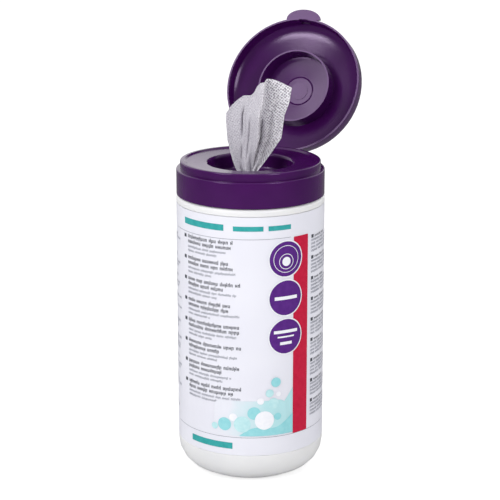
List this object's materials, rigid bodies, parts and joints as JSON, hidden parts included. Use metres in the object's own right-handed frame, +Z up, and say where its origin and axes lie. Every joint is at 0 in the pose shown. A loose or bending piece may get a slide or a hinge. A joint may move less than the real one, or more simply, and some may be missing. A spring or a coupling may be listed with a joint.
{
  "type": "pack of disinfecting wipes",
  "caption": "Round white plastic canister with a wrap label, a purple screw cap and open flip lid, and one wipe pulled up through the dispensing hole.",
  "frame": {"origin": "middle of the canister's base", "axes": "+Z up along the canister, the lid's hinge toward +Y, the thumb tab toward -Y"},
  "size_m": [0.095, 0.1507, 0.2882],
  "materials": {
    "bottle_plastic": "satin",
    "label_film": "satin",
    "red_ink": "satin",
    "purple_ink": "satin",
    "teal_ink": "satin",
    "wipe_cloth": "damp nonwoven",
    "cap_plastic": "gloss"
  },
  "bodies": {
    "canister": {"bottle": "bottle_plastic", "label": "label_film", "print_red_band": "red_ink", "print_disc_top": "purple_ink", "print_disc_middle": "purple_ink", "print_disc_bottom": "purple_ink", "print_picture_field": "teal_ink", "wipe_roll": "wipe_cloth"},
    "pulled_wipe": {"leading_wipe": "wipe_cloth"},
    "screw_cap": {"cap": "cap_plastic"},
    "lid": {"flip_lid": "cap_plastic"}
  },
  "joints": [
    {"name": "cap_rise", "type": "slide", "parent": "canister", "child": "pulled_wipe", "axis": [0, 0, 1], "range_m": [0, 0.0091]},
    {"name": "cap_turn", "type": "hinge", "parent": "pulled_wipe", "child": "screw_cap", "pos_m": [0, 0, 0.19], "axis": [0, 0, 1], "range_deg": [0, 540]},
    {"name": "lid_hinge", "type": "hinge", "parent": "screw_cap", "child": "lid", "pos_m": [0, 0.0494, 0.19783], "axis": [-1, 0, 0], "range_deg": [-116.8, 28.2], "deforming": ["leading_wipe"]}
  ],
  "couplings": [
    {"joint": "cap_rise", "follows": "cap_turn", "m_per_rad": 0.00095493}
  ]
}
